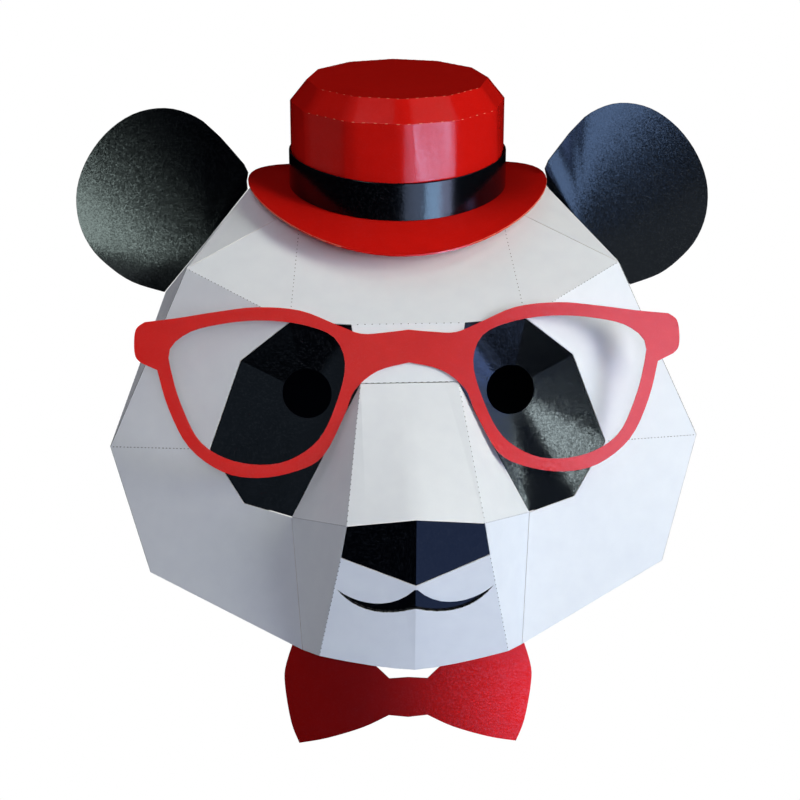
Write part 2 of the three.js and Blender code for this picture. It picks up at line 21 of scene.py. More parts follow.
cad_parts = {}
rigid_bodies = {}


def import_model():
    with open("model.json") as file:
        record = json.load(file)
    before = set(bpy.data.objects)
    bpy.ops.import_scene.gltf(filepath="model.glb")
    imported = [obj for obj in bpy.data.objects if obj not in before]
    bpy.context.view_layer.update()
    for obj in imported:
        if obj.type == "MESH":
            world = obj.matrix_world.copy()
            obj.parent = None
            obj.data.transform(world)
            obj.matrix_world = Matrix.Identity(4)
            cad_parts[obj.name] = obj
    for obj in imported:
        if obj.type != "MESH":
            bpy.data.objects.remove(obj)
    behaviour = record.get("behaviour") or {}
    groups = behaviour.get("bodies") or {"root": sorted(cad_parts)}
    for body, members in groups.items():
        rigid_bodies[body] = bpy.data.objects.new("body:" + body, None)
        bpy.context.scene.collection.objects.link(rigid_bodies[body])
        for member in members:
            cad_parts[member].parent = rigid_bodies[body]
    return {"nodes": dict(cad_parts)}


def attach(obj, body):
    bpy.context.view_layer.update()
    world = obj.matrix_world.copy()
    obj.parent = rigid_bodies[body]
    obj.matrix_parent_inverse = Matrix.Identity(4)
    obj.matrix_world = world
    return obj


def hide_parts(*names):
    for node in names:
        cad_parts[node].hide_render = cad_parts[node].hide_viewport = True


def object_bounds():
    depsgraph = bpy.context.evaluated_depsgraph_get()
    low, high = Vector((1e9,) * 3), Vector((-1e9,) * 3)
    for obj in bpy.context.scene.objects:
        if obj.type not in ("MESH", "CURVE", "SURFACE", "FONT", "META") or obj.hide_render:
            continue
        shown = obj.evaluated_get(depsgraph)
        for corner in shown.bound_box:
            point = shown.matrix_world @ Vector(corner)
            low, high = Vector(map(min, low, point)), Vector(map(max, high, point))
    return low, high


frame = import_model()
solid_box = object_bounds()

log = logging.getLogger("panda_mask")

MM = 0.001
KEEP_INSIDE = 1  # the triangulation's option that keeps the triangles inside an outline
ONE_POINT = 1e-7  # points closer than this are one to the triangulation, in metres
SAME_PLACE = 0.002 * MM  # corners closer than this are joined
UNDER_SKIN = 0.02 * MM  # a ray through the card starts this far under its face
ROUNDED_FROM = 35.0  # folds and cut edges sharper than this many degrees are rounded

# Corners of the folded head, in millimetres, on the right. The left ones mirror them in x.
CORNERS_MM = {
    "brow_top": (49.3, -51.3, -10.8),
    "brow_outer": (56.2, -107.2, -63.4),
    "brow_inner": (27.2, -108.9, -65.0),
    "bridge": (23.3, -113.2, -92.7),
    "temple": (105.8, -77.7, -39.4),
    "eye_outer_top": (80.0, -99.4, -82.4),
    "eye_outer_low": (95.7, -100.3, -124.9),
    "eye_low": (79.7, -105.6, -150.6),
    "eye_inner_low": (57.0, -113.5, -156.4),
    "eye_hole": (48.7, -108.6, -97.5),
    "cheek": (145.5, -76.1, -126.5),
    "nose_top": (31.9, -152.4, -153.5),
    "nose_low": (34.6, -147.0, -169.4),
    "chin": (45.2, -126.5, -221.4),
    "ear_low": (119.0, -28.2, -54.5),
    "crown_back": (66.0, 28.9, 5.4),
    "side_upper": (118.0, 22.9, -56.5),
    "side_middle": (130.0, 22.9, -126.4),
    "side_lower": (108.0, 18.9, -196.4),
    "back_upper": (84.0, 88.9, -61.4),
    "back_middle": (90.0, 88.9, -126.4),
}


class Side(Enum):
    """The two halves of the mask, as signs of x."""

    LEFT = -1
    RIGHT = 1


class Layer(Enum):
    """The faces of a piece of card, as numbers of its material slots."""

    OUTSIDE = 0
    RIM = 1
    INSIDE = 2


class Duty(Enum):
    """What a lamp is set up for: to light surfaces, or to be mirrored in satin card."""

    LIGHT = "light"
    SHINE = "shine"


class Reach(Enum):
    """The pieces that a lamp reaches past its flags, the boards that keep its light off the rest."""

    ALL = "all"
    HAT = "hat_only"
    BOW = "bow_only"
    GLASSES = "glasses_only"
    NOT_BOW = "all_but_bow"
    NOT_GLASSES = "all_but_glasses"


class Slot(Enum):
    """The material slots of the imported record."""

    WHITE = "white_card"
    BLACK = "black_card"
    RED = "red_card"


def corner(name: str, side: Side) -> Vector:
    """Give a corner of the head.

    Args:
        name: The corner's name in the table.
        side: The half it is on.

    Returns:
        The corner in metres.
    """
    x, y, z = CORNERS_MM[name]
    return Vector((side.value * x, y, z)) * MM


def linear(code: str) -> tuple[float, float, float, float]:
    """Turn an sRGB hex colour to linear light.

    Args:
        code: The colour as #rrggbb.

    Returns:
        Red, green, blue and an alpha of one.
    """
    shares = [int(code[i:i + 2], 16) / 255 for i in (1, 3, 5)]
    red, green, blue = (
        s / 12.92 if s <= 0.04045 else ((s + 0.055) / 1.055) ** 2.4 for s in shares
    )
    return red, green, blue, 1.0


def add_node(
    tree: bpy.types.NodeTree,
    kind: str,
    inputs: dict[str | int, object] | None = None,
    **settings: object,
) -> bpy.types.Node:
    """Add a shader node with its settings and links.

    Args:
        tree: The material's node tree.
        kind: The node's type.
        inputs: For each input, by name or number, its value or the output that feeds it.
        **settings: The node's own settings.

    Returns:
        The new node.
    """
    node = tree.nodes.new(kind)
    for name, value in settings.items():
        setattr(node, name, value)
    for key, value in (inputs or {}).items():
        if isinstance(value, bpy.types.NodeSocket):
            tree.links.new(value, node.inputs[key])
        else:
            node.inputs[key].default_value = value
    return node


def new_material(name: str) -> tuple[bpy.types.Material, bpy.types.NodeTree]:
    """Make an empty node material.

    Args:
        name: The material's name.

    Returns:
        The material and its node tree.
    """
    material = bpy.data.materials.new(name)
    material.use_nodes = True
    material.node_tree.nodes.clear()
    return material, material.node_tree


@dataclass(frozen=True)
class WhiteCard:
    """Uncoated white card of 300 g/m2, calendered: matt, bluish white, with a faint cloudy tone.

    Its fibres are finer than a pixel, so they are drawn at 0.8 mm. Handling leaves each panel
    very slightly wavy, which lets the light roll off it softly.
    """

    name: str = "calendered_white_card"
    colour: str = "#e8edf4"
    cloud: str = "#e4e9f1"
    fibre_mm: float = 0.8
    cloud_mm: float = 9.0
    wave_mm: float = 45.0
    wave_depth_mm: float = 0.8
    fibre_depth_mm: float = 0.05
    roughness: float = 0.62

    def material(self) -> bpy.types.Material:
        """Make the card's material.

        Returns:
            The material.
        """
        material, tree = new_material(self.name)
        place = add_node(tree, "ShaderNodeTexCoord").outputs["Object"]
        fibres = add_node(
            tree, "ShaderNodeTexNoise",
            {"Vector": place, "Scale": 1 / (self.fibre_mm * MM), "Detail": 3.0, "Roughness": 0.6},
        )
        clouds = add_node(
            tree, "ShaderNodeTexNoise",
            {"Vector": place, "Scale": 1 / (self.cloud_mm * MM), "Detail": 4.0},
        )
        waves = add_node(
            tree, "ShaderNodeTexNoise",
            {"Vector": place, "Scale": 1 / (self.wave_mm * MM), "Detail": 1.0},
        )
        tone = add_node(
            tree, "ShaderNodeMapRange",
            {"Value": clouds.outputs["Fac"], "From Min": 0.3, "From Max": 0.7},
        )
        colour = add_node(
            tree, "ShaderNodeMix",
            {0: tone.outputs["Result"], 6: linear(self.colour), 7: linear(self.cloud)},
            data_type="RGBA",
        )
        wavy = add_node(
            tree, "ShaderNodeBump",
            {"Height": waves.outputs["Fac"], "Strength": 0.35, "Distance": self.wave_depth_mm * MM},
        )
        surface = add_node(
            tree, "ShaderNodeBump",
            {
                "Height": fibres.outputs["Fac"], "Strength": 0.12,
                "Distance": self.fibre_depth_mm * MM, "Normal": wavy.outputs["Normal"],
            },
        )
        shader = add_node(
            tree, "ShaderNodeBsdfPrincipled",
            {
                "Base Color": colour.outputs[2], "Roughness": self.roughness, "IOR": 1.45,
                "Specular IOR Level": 0.3, "Normal": surface.outputs["Normal"],
            },
        )
        add_node(tree, "ShaderNodeOutputMaterial", {"Surface": shader.outputs["BSDF"]})
        return material


@dataclass(frozen=True)
class PearlCard:
    """Dyed card with a pearl coating: mica flakes in a thin clear layer over the dyed sheet.

    The clear layer mirrors the lamps as a satin sheen. Its flakes lie nearly flat, each with a
    lean and a polish between smooth and dull of its own, which breaks the sheen up to a fine
    grain. A share of them, the glinting ones, is also painted a little paler than the dye in
    the base colour: painted glints, which show paler under any light. Real flakes are about
    0.05 mm across, too fine to show, so they are drawn as cells of 0.5 mm.
    """

    name: str
    body: str
    # the pale colour that the glinting flakes are painted towards: painted glints
    flake: str
    painted_glint: float
    flake_mm: float = 0.5
    cloud_mm: float = 6.0
    painted_glint_share: float = 0.3
    faded: float = 0.93
    lean: float = 0.02
    smooth: float = 0.13
    dull: float = 0.2

    def material(self) -> bpy.types.Material:
        """Make the card's material.

        Returns:
            The material.
        """
        material, tree = new_material(self.name)
        place = add_node(tree, "ShaderNodeTexCoord").outputs["Object"]
        flakes = add_node(
            tree, "ShaderNodeTexVoronoi",
            {"Vector": place, "Scale": 1 / (self.flake_mm * MM), "Randomness": 1.0},
        )
        chance = add_node(tree, "ShaderNodeSeparateColor", {"Color": flakes.outputs["Color"]})
        # painted glints: this share of cells is mixed towards the pale flake colour in the base
        # colour, so they look paler under any light
        painted_glint = add_node(
            tree, "ShaderNodeMapRange",
            {"Value": chance.outputs["Red"], "From Min": 1 - self.painted_glint_share, "To Max": self.painted_glint},
        )
        polish = add_node(
            tree, "ShaderNodeMapRange",
            {"Value": chance.outputs["Green"], "To Min": self.smooth, "To Max": self.dull},
        )
        clouds = add_node(
            tree, "ShaderNodeTexNoise",
            {"Vector": place, "Scale": 1 / (self.cloud_mm * MM), "Detail": 4.0},
        )
        fading = add_node(
            tree, "ShaderNodeMapRange",
            {
                "Value": clouds.outputs["Fac"], "From Min": 0.25, "From Max": 0.75,
                "To Min": self.faded,
            },
        )
        body = add_node(
            tree, "ShaderNodeMix",
            {0: 1.0, 6: linear(self.body), 7: fading.outputs["Result"]},
            data_type="RGBA", blend_type="MULTIPLY",
        )
        colour = add_node(
            tree, "ShaderNodeMix",
            {0: painted_glint.outputs["Result"], 6: body.outputs[2], 7: linear(self.flake)},
            data_type="RGBA",
        )
        centred = add_node(
            tree, "ShaderNodeVectorMath", {0: flakes.outputs["Color"], 1: (0.5, 0.5, 0.5)},
            operation="SUBTRACT",
        )
        leaning = add_node(
            tree, "ShaderNodeVectorMath", {0: centred.outputs["Vector"], "Scale": 2 * self.lean},
            operation="SCALE",
        )
        flat = add_node(tree, "ShaderNodeNewGeometry").outputs["Normal"]
        tilted = add_node(
            tree, "ShaderNodeVectorMath", {0: flat, 1: leaning.outputs["Vector"]}, operation="ADD"
        )
        facing = add_node(
            tree, "ShaderNodeVectorMath", {0: tilted.outputs["Vector"]}, operation="NORMALIZE"
        )
        shader = add_node(
            tree, "ShaderNodeBsdfPrincipled",
            {
                "Base Color": colour.outputs[2], "Roughness": polish.outputs["Result"],
                "IOR": 1.5, "Normal": facing.outputs["Vector"],
            },
        )
        add_node(tree, "ShaderNodeOutputMaterial", {"Surface": shader.outputs["BSDF"]})
        return material


@dataclass(frozen=True)
class BareFibre:
    """Card without a coating, as at a cut edge: rough and dull. Made dark, it is also the painted
    shade inside the slits and on the inner side of the white card.

    Its fibres are drawn at 1.1 mm, so that the streaks of the pulp show.
    """

    name: str
    colour: str
    streak: str
    roughness: float = 0.85
    fibre_mm: float = 1.1
    fibre_depth_mm: float = 0.1

    def material(self) -> bpy.types.Material:
        """Make the material of the bare fibres.

        Returns:
            The material.
        """
        material, tree = new_material(self.name)
        place = add_node(tree, "ShaderNodeTexCoord").outputs["Object"]
        fibres = add_node(
            tree, "ShaderNodeTexNoise",
            {"Vector": place, "Scale": 1 / (self.fibre_mm * MM), "Detail": 3.0, "Roughness": 0.7},
        )
        colour = add_node(
            tree, "ShaderNodeMix",
            {0: fibres.outputs["Fac"], 6: linear(self.colour), 7: linear(self.streak)},
            data_type="RGBA",
        )
        rough = add_node(
            tree, "ShaderNodeBump",
            {
                "Height": fibres.outputs["Fac"], "Strength": 0.4,
                "Distance": self.fibre_depth_mm * MM,
            },
        )
        shader = add_node(
            tree, "ShaderNodeBsdfPrincipled",
            {
                "Base Color": colour.outputs[2], "Roughness": self.roughness, "IOR": 1.45,
                "Specular IOR Level": 0.2, "Normal": rough.outputs["Normal"],
            },
        )
        add_node(tree, "ShaderNodeOutputMaterial", {"Surface": shader.outputs["BSDF"]})
        return material


@dataclass(frozen=True)
class Finishes:
    """The finishes of one colour of card: its face, its cut edge and its inner side."""

    face: bpy.types.Material
    rim: bpy.types.Material
    back: bpy.types.Material


def mesh_object(name: str, bm: bmesh.types.BMesh) -> bpy.types.Object:
    """Turn edited mesh data to an object in the scene.

    Args:
        name: The object's name.
        bm: The mesh data, which is freed.

    Returns:
        The new object.
    """
    mesh = bpy.data.meshes.new(name)
    bm.to_mesh(mesh)
    bm.free()
    piece = bpy.data.objects.new(name, mesh)
    bpy.context.scene.collection.objects.link(piece)
    return piece


def copied_solid(node: str) -> bmesh.types.BMesh:
    """Copy a solid of the frame, with its corners joined.

    Args:
        node: The solid's name.

    Returns:
        The copy as mesh data.
    """
    bm = bmesh.new()
    bm.from_mesh(frame["nodes"][node].data)
    bmesh.ops.remove_doubles(bm, verts=bm.verts, dist=SAME_PLACE)
    bm.normal_update()
    return bm


def sort_layers(bm: bmesh.types.BMesh, core: Vector, probe: float) -> None:
    """Give each face the material slot of the outside, the rim or the inside of the card.

    Args:
        bm: The card's mesh data.
        core: A point on the inner side of the card.
        probe: How far to look for the card's other face: more than the card is thick, and
            less than any rim is long.
    """
    tree = BVHTree.FromBMesh(bm)
    for face in bm.faces:
        middle = face.calc_center_median()
        start = middle - face.normal * UNDER_SKIN
        if tree.ray_cast(start, -face.normal, probe)[0] is None:
            face.material_index = Layer.RIM.value
        elif face.normal.dot(middle - core) > 0:
            face.material_index = Layer.OUTSIDE.value
        else:
            face.material_index = Layer.INSIDE.value


def shade(bm: bmesh.types.BMesh, limit: float) -> None:
    """Shade gentle bends smoothly, and keep folds and cut edges crisp.

    Args:
        bm: The card's mesh data.
        limit: The greatest angle that still shades as a bend, in degrees.
    """
    for face in bm.faces:
        face.smooth = True
    for edge in bm.edges:
        edge.smooth = len(edge.link_faces) == 2 and edge.calc_face_angle() < math.radians(limit)


def soften_edges(piece: bpy.types.Object, radius: float) -> None:
    """Round a piece's folds and cut edges a little.

    Args:
        piece: The piece.
        radius: The width of the rounding.
    """
    rounding = piece.modifiers.new("rounding", "BEVEL")
    rounding.width = radius
    rounding.segments = 2
    rounding.limit_method = "ANGLE"
    rounding.angle_limit = math.radians(ROUNDED_FROM)
    rounding.harden_normals = True


def fit(piece: bpy.types.Object, finishes: Finishes, slot: Slot, *nodes: str) -> bpy.types.Object:
    """Give a finished piece its materials and its place in the frame.

    Args:
        piece: The piece.
        finishes: The finishes of its card.
        slot: Not used.
        *nodes: The solids that it stands for.

    Returns:
        The piece.
    """
    for material in (finishes.face, finishes.rim, finishes.back):
        piece.data.materials.append(material)
    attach(piece, "root")
    if nodes:
        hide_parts(*nodes)
    log.info("%s: %d faces", piece.name, len(piece.data.polygons))
    return piece


@dataclass
class CardPiece:
    """One cut and folded piece of card that keeps the form of its solid.

    The core is a point on its inner side. The bend limit and the turn are in degrees. The trim
    moves the points nearer the middle of the mask than its reach.
    """

    node: str
    slot: Slot
    core: tuple[float, float, float]
    bend_limit: float = 12.0
    edge_radius: float = 0.18 * MM
    probe: float = 1.7 * MM
    turn: float = 0.0
    trim: tuple[tuple[float, float], ...] = ()
    trim_reach: float = 98.0 * MM

    def build(self, finishes: Finishes) -> bpy.types.Object:
        """Make the piece, turned clockwise in its own plane where it was glued on askew.

        Args:
            finishes: The finishes of its card.

        Returns:
            The piece, in place.
        """
        bm = copied_solid(self.node)
        sort_layers(bm, Vector(self.core), self.probe)
        if self.trim:
            self.trim_inner_edge(bm)
        shade(bm, self.bend_limit)
        if self.turn:
            middle = sum((v.co for v in bm.verts), Vector()) / len(bm.verts)
            askew = Matrix.Rotation(math.radians(self.turn), 3, "Y")
            bmesh.ops.rotate(bm, verts=bm.verts, cent=middle, matrix=askew)
        piece = mesh_object(f"{self.node}_card", bm)
        soften_edges(piece, self.edge_radius)
        return fit(piece, finishes, self.slot, self.node)

    def trim_inner_edge(self, bm: bmesh.types.BMesh) -> None:
        """Move the edge nearest the middle of the mask, as the trim says.

        Args:
            bm: The card's mesh data.
        """
        heights, shifts = (np.array(column) * MM for column in zip(*self.trim))
        for vert in bm.verts:
            if abs(vert.co.x) < self.trim_reach:
                inward = float(np.interp(vert.co.z, heights, shifts, 0.0, 0.0))
                vert.co.x -= math.copysign(1.0, vert.co.x) * inward


@dataclass(frozen=True)
class Perforation:
    """A row of slits cut along a fold so that the card bends there, sizes in millimetres.

    A row across the mask starts on the left half and ends on the right.
    """

    start: str
    end: str
    pitch: float = 2.4
    slit: float = 0.75
    across: bool = False


@dataclass
class SlitCutter:
    """Cuts rows of small slits along folds, as closed lenses sunk in the surface of the card.

    The slits make up one named piece, and the seed fixes how much they differ.
    """

    name: str
    surface: BVHTree
    seed: int
    sides: int = 8
    rim_lift: float = 0.02 * MM
    top_lift: float = 0.05 * MM
    depth: float = 0.3 * MM
    place_change: float = 0.08
    shortest: float = 0.75
    longest: float = 1.2
    chance: random.Random = field(init=False)
    bm: bmesh.types.BMesh = field(init=False)

    def __post_init__(self) -> None:
        """Start with no slits."""
        self.chance = random.Random(self.seed)
        self.bm = bmesh.new()

    def slit(self, middle: Vector, along: Vector, length: float, width: float) -> None:
        """Cut one slit.

        Args:
            middle: Its middle, near the card.
            along: The direction of the fold.
            length: Its length along the fold.
            width: Its width across the fold.
        """
        place, normal, _, _ = self.surface.find_nearest(middle)
        across = normal.cross(along).normalized()
        ring = []
        for k in range(self.sides):
            turn = math.tau * k / self.sides
            at = place + along * (math.cos(turn) * length / 2)
            at += across * (math.sin(turn) * width / 2)
            on_card, out, _, _ = self.surface.find_nearest(at)
            ring.append(self.bm.verts.new(on_card + out * self.rim_lift))
        top = self.bm.verts.new(place + normal * self.top_lift)
        bottom = self.bm.verts.new(place - normal * self.depth)
        for k, point in enumerate(ring):
            following = ring[(k + 1) % self.sides]
            self.bm.faces.new((point, following, top))
            self.bm.faces.new((following, point, bottom))

    def row(self, start: Vector, end: Vector, pitch: float, length: float, width: float) -> None:
        """Cut a row of slits.

        Args:
            start: Where the fold starts.
            end: Where the fold ends.
            pitch: The distance between slits.
            length: The length of a slit.
            width: The width of a slit.
        """
        along = end - start
        count = max(1, round(along.length / pitch) - 1)
        for k in range(count):
            drift = self.chance.uniform(-self.place_change, self.place_change)
            share = (k + 1 + drift) / (count + 1)
            size = length * self.chance.uniform(self.shortest, self.longest)
            self.slit(start + along * share, along.normalized(), size, width)

    def build(self, finish: bpy.types.Material, slot: Slot) -> bpy.types.Object:
        """Make the piece from all slits cut so far.

        Args:
            finish: The slits' material.
            slot: Not used.

        Returns:
            The piece, in place.
        """
        bmesh.ops.recalc_face_normals(self.bm, faces=self.bm.faces)
        piece = mesh_object(self.name, self.bm)
        piece.data.materials.append(finish)
        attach(piece, "root")
        log.info("%s: %d faces", piece.name, len(piece.data.polygons))
        return piece


@dataclass
class EyePatch:
    """A black eye patch, creased above its eye hole and softly bowed below it.

    Its sheet has a point every grain. The depth of each is averaged over the rings and turns of
    a disc, and what still bends by more degrees than crisp_from is a crease.
    """

    side: Side
    hole_radius: float = 11.75 * MM
    grain: float = 1.5 * MM
    thickness: float = 1.0 * MM
    seam: float = 0.33 * MM
    crease_seam: float = 0.44 * MM
    hole_points: int = 48
    clear_of_lines: float = 0.6
    bend_radius: float = 5.0 * MM
    bend_rings: tuple[float, ...] = (0.35, 0.7, 1.0)
    bend_turns: int = 16
    creased_to: tuple[str, ...] = ("brow_outer", "eye_outer_top")
    crisp_from: float = 4.5
    slack: float = 1e-6
    outline: tuple[str, ...] = (
        "brow_inner", "brow_outer", "eye_outer_top", "eye_outer_low", "eye_low",
        "eye_inner_low", "bridge",
    )

    def boundary(self) -> list[Vector]:
        """Give the patch's outline.

        Returns:
            Closely spaced points, clear of the white card by a seam.
        """
        middle = corner("eye_hole", self.side)
        corners = [corner(name, self.side) for name in self.outline]
        corners = [c + (middle - c).normalized() * self.seam for c in corners]
        points = []
        for here, there in zip(corners, corners[1:] + corners[:1]):
            steps = max(1, round((there - here).length / self.grain))
            points += [here.lerp(there, k / steps) for k in range(steps)]
        return points

    def hole(self) -> list[Vector]:
        """Give the rim of the eye hole, seen from the front.

        Returns:
            Points on a circle.
        """
        middle = corner("eye_hole", self.side)
        turns = [math.tau * k / self.hole_points for k in range(self.hole_points)]
        return [
            middle + Vector((math.cos(t), 0.0, math.sin(t))) * self.hole_radius for t in turns
        ]

    def creases(self) -> list[list[Vector]]:
        """Give the creases from the eye hole to two of the corners.

        Returns:
            For each crease, closely spaced points.
        """
        middle = corner("eye_hole", self.side)
        lines = []
        for name in self.creased_to:
            reach = corner(name, self.side) - middle
            reach -= reach.normalized() * self.crease_seam
            steps = round(reach.length / self.grain)
            lines.append([middle + reach * k / steps for k in range(1, steps + 1)])
        return lines

    def depth(self, x: float, z: float) -> float:
        """Give the depth of the sheet where straight lines from its hole meet its outline.

        Args:
            x: Place across the mask.
            z: Height.

        Returns:
            The depth, as y.
        """
        middle = corner("eye_hole", self.side)
        corners = [corner(name, self.side) for name in self.outline]
        for here, there in zip(corners, corners[1:] + corners[:1]):
            first, second = here - middle, there - middle
            area = first.x * second.z - first.z * second.x
            along = ((x - middle.x) * second.z - (z - middle.z) * second.x) / area
            aside = (first.x * (z - middle.z) - first.z * (x - middle.x)) / area
            if min(along, aside) >= -self.slack:
                return middle.y + along * first.y + aside * second.y
        return middle.y

    def bowed_depth(self, x: float, z: float) -> float:
        """Average the depth over a small disc, which stops short of the outline and the creases.

        Args:
            x: Place across the mask.
            z: Height.

        Returns:
            The depth, as y.
        """
        middle = corner("eye_hole", self.side)
        corners = [corner(name, self.side) for name in self.outline]
        lines = list(zip(corners, corners[1:] + corners[:1]))
        lines += [(middle, corner(name, self.side)) for name in self.creased_to]
        radius = self.bend_radius
        for here, there in lines:
            along = Vector((there.x - here.x, there.z - here.z))
            reach = Vector((x - here.x, z - here.z))
            share = min(max(reach.dot(along) / along.length_squared, 0.0), 1.0)
            radius = min(radius, (reach - along * share).length)
        turns = [math.tau * k / self.bend_turns for k in range(self.bend_turns)]
        depths = [
            self.depth(x + radius * ring * math.cos(t), z + radius * ring * math.sin(t))
            for ring in self.bend_rings
            for t in turns
        ]
        return sum(depths) / len(depths)

    def sheet(self) -> bmesh.types.BMesh:
        """Make the patch as one bowed sheet, bent before the hole is cut.

        Returns:
            The sheet's mesh data, without thickness.
        """
        edge, hole, creases = self.boundary(), self.hole(), self.creases()
        flat = np.array([(p.x, p.z) for p in edge + sum(creases, []) + hole])
        low, high = flat.min(axis=0), flat.max(axis=0)
        inner = [
            Vector((x, z))
            for x in np.arange(low[0], high[0], self.grain)
            for z in np.arange(low[1], high[1], self.grain)
            if np.hypot(*(flat - (x, z)).T).min() > self.clear_of_lines * self.grain
        ]
        lines, start = [], len(edge)
        for crease in creases:
            lines += [(start + k, start + k + 1) for k in range(len(crease) - 1)]
            start += len(crease)
        lines += [(start + k, start + (k + 1) % len(hole)) for k in range(len(hole))]
        whole = [list(range(len(edge)))]
        points, _, faces, _, _, _ = delaunay_2d_cdt(
            [Vector(p) for p in flat] + inner, lines, whole, KEEP_INSIDE, ONE_POINT
        )
        bm = bmesh.new()
        verts = [bm.verts.new((p.x, self.bowed_depth(p.x, p.y), p.y)) for p in points]
        middle = corner("eye_hole", self.side)
        for face in faces:
            at = sum((points[k] for k in face), Vector((0.0, 0.0))) / len(face)
            if math.hypot(at.x - middle.x, at.y - middle.z) > self.hole_radius:
                bm.faces.new([verts[k] for k in face])
        loose = [v for v in bm.verts if not v.link_faces]
        bmesh.ops.delete(bm, geom=loose, context="VERTS")
        bmesh.ops.recalc_face_normals(bm, faces=bm.faces)
        if sum(f.normal.y for f in bm.faces) > 0:
            bmesh.ops.reverse_faces(bm, faces=bm.faces)
        return bm

    def build(self, finishes: Finishes) -> bpy.types.Object:
        """Make the patch.

        Args:
            finishes: The finishes of black card.

        Returns:
            The patch, in place.
        """
        bm = self.sheet()
        shade(bm, self.crisp_from)
        node = f"eye_patch_{self.side.name.lower()}"
        piece = mesh_object(f"{node}_card", bm)
        stock = piece.modifiers.new("card", "SOLIDIFY")
        stock.thickness = self.thickness
        stock.offset = -1
        stock.use_rim = True
        stock.material_offset_rim = Layer.RIM.value
        stock.material_offset = Layer.INSIDE.value
        return fit(piece, finishes, Slot.BLACK, node)


@dataclass
class Head:
    """The folded head: white panels, black eye patches and nose, and the slits of its folds."""

    core: tuple[float, float, float] = (0.0, -0.02, -0.12)
    white_panels: tuple[str, ...] = (
        "face", "muzzle", "head_side_left", "head_side_right", "head_top", "head_back",
    )
    slit_width: float = 0.42 * MM
    slit_seed: int = 11
    folds: tuple[Perforation, ...] = (
        Perforation("brow_top", "brow_outer", 2.5, 0.7),
        Perforation("brow_inner", "brow_inner", 3.5, 0.7, across=True),
        Perforation("temple", "brow_outer", 1.95, 0.7),
        Perforation("cheek", "eye_outer_low", 2.0, 0.95),
        Perforation("bridge", "bridge", 3.0, 1.8, across=True),
        Perforation("bridge", "nose_top", 2.6, 0.8),
        Perforation("eye_inner_low", "nose_top", 1.5, 0.6),
        Perforation("nose_low", "chin", 2.5, 0.7),
        Perforation("temple", "ear_low"),
        Perforation("ear_low", "cheek"),
        Perforation("ear_low", "side_upper"),
        Perforation("crown_back", "side_upper"),
        Perforation("side_upper", "side_middle"),
        Perforation("side_middle", "side_lower"),
        Perforation("cheek", "side_middle"),
        Perforation("side_upper", "back_upper"),
        Perforation("side_middle", "back_middle"),
    )

    def build(self, white: Finishes, black: Finishes, slit: bpy.types.Material) -> None:
        """Make the head.

        Args:
            white: The finishes of white card.
            black: The finishes of black card.
            slit: The material of the slits, dark grey painted shade.
        """
        for node in self.white_panels:
            CardPiece(node, Slot.WHITE, self.core).build(white)
        for side in Side:
            EyePatch(side).build(black)
        for node in ("nose", "mouth_backing"):
            CardPiece(node, Slot.BLACK, self.core).build(black)
        self.perforate(slit)

    def surface(self) -> BVHTree:
        """Join all white panels to one surface to lay slits on.

        Returns:
            The surface, ready to be searched.
        """
        points, faces = [], []
        for node in self.white_panels:
            mesh = frame["nodes"][node].data
            first = len(points)
            points += [v.co.copy() for v in mesh.vertices]
            faces += [[first + k for k in p.vertices] for p in mesh.polygons]
        return BVHTree.FromPolygons(points, faces)

    def perforate(self, slit: bpy.types.Material) -> None:
        """Cut the slits of every fold.

        Args:
            slit: The material of the slits, dark grey painted shade.
        """
        cutter = SlitCutter("head_fold_slits", self.surface(), self.slit_seed)
        for fold in self.folds:
            pairs = [(Side.LEFT, Side.RIGHT)] if fold.across else [(side, side) for side in Side]
            for first, last in pairs:
                start, end = corner(fold.start, first), corner(fold.end, last)
                cutter.row(start, end, fold.pitch * MM, fold.slit * MM, self.slit_width)
        cutter.build(slit, Slot.WHITE)


@dataclass
class Ears:
    """Two ears, each a black sheet curled to a shallow cup.

    The trim gives, for heights in millimetres, how far the inner edge runs on towards the hat,
    or below zero how far it is cut back.
    """

    core: tuple[float, float, float] = (0.0, 0.3, -0.05)
    bend_limit: float = 30.0
    trim: tuple[tuple[float, float], ...] = (
        (-3.2, 0.0), (1.0, 0.6), (5.3, 2.4), (9.5, 1.4), (13.5, -0.5), (17.0, -1.2), (20.1, -1.1),
        (23.0, -0.5), (28.6, -0.4), (31.0, 0.0),
    )

    def build(self, black: Finishes) -> None:
        """Make both ears.

        Args:
            black: The finishes of black card.
        """
        for side in Side:
            node = f"ear_{side.name.lower()}"
            ear = CardPiece(node, Slot.BLACK, self.core, self.bend_limit, trim=self.trim)
            ear.build(black)


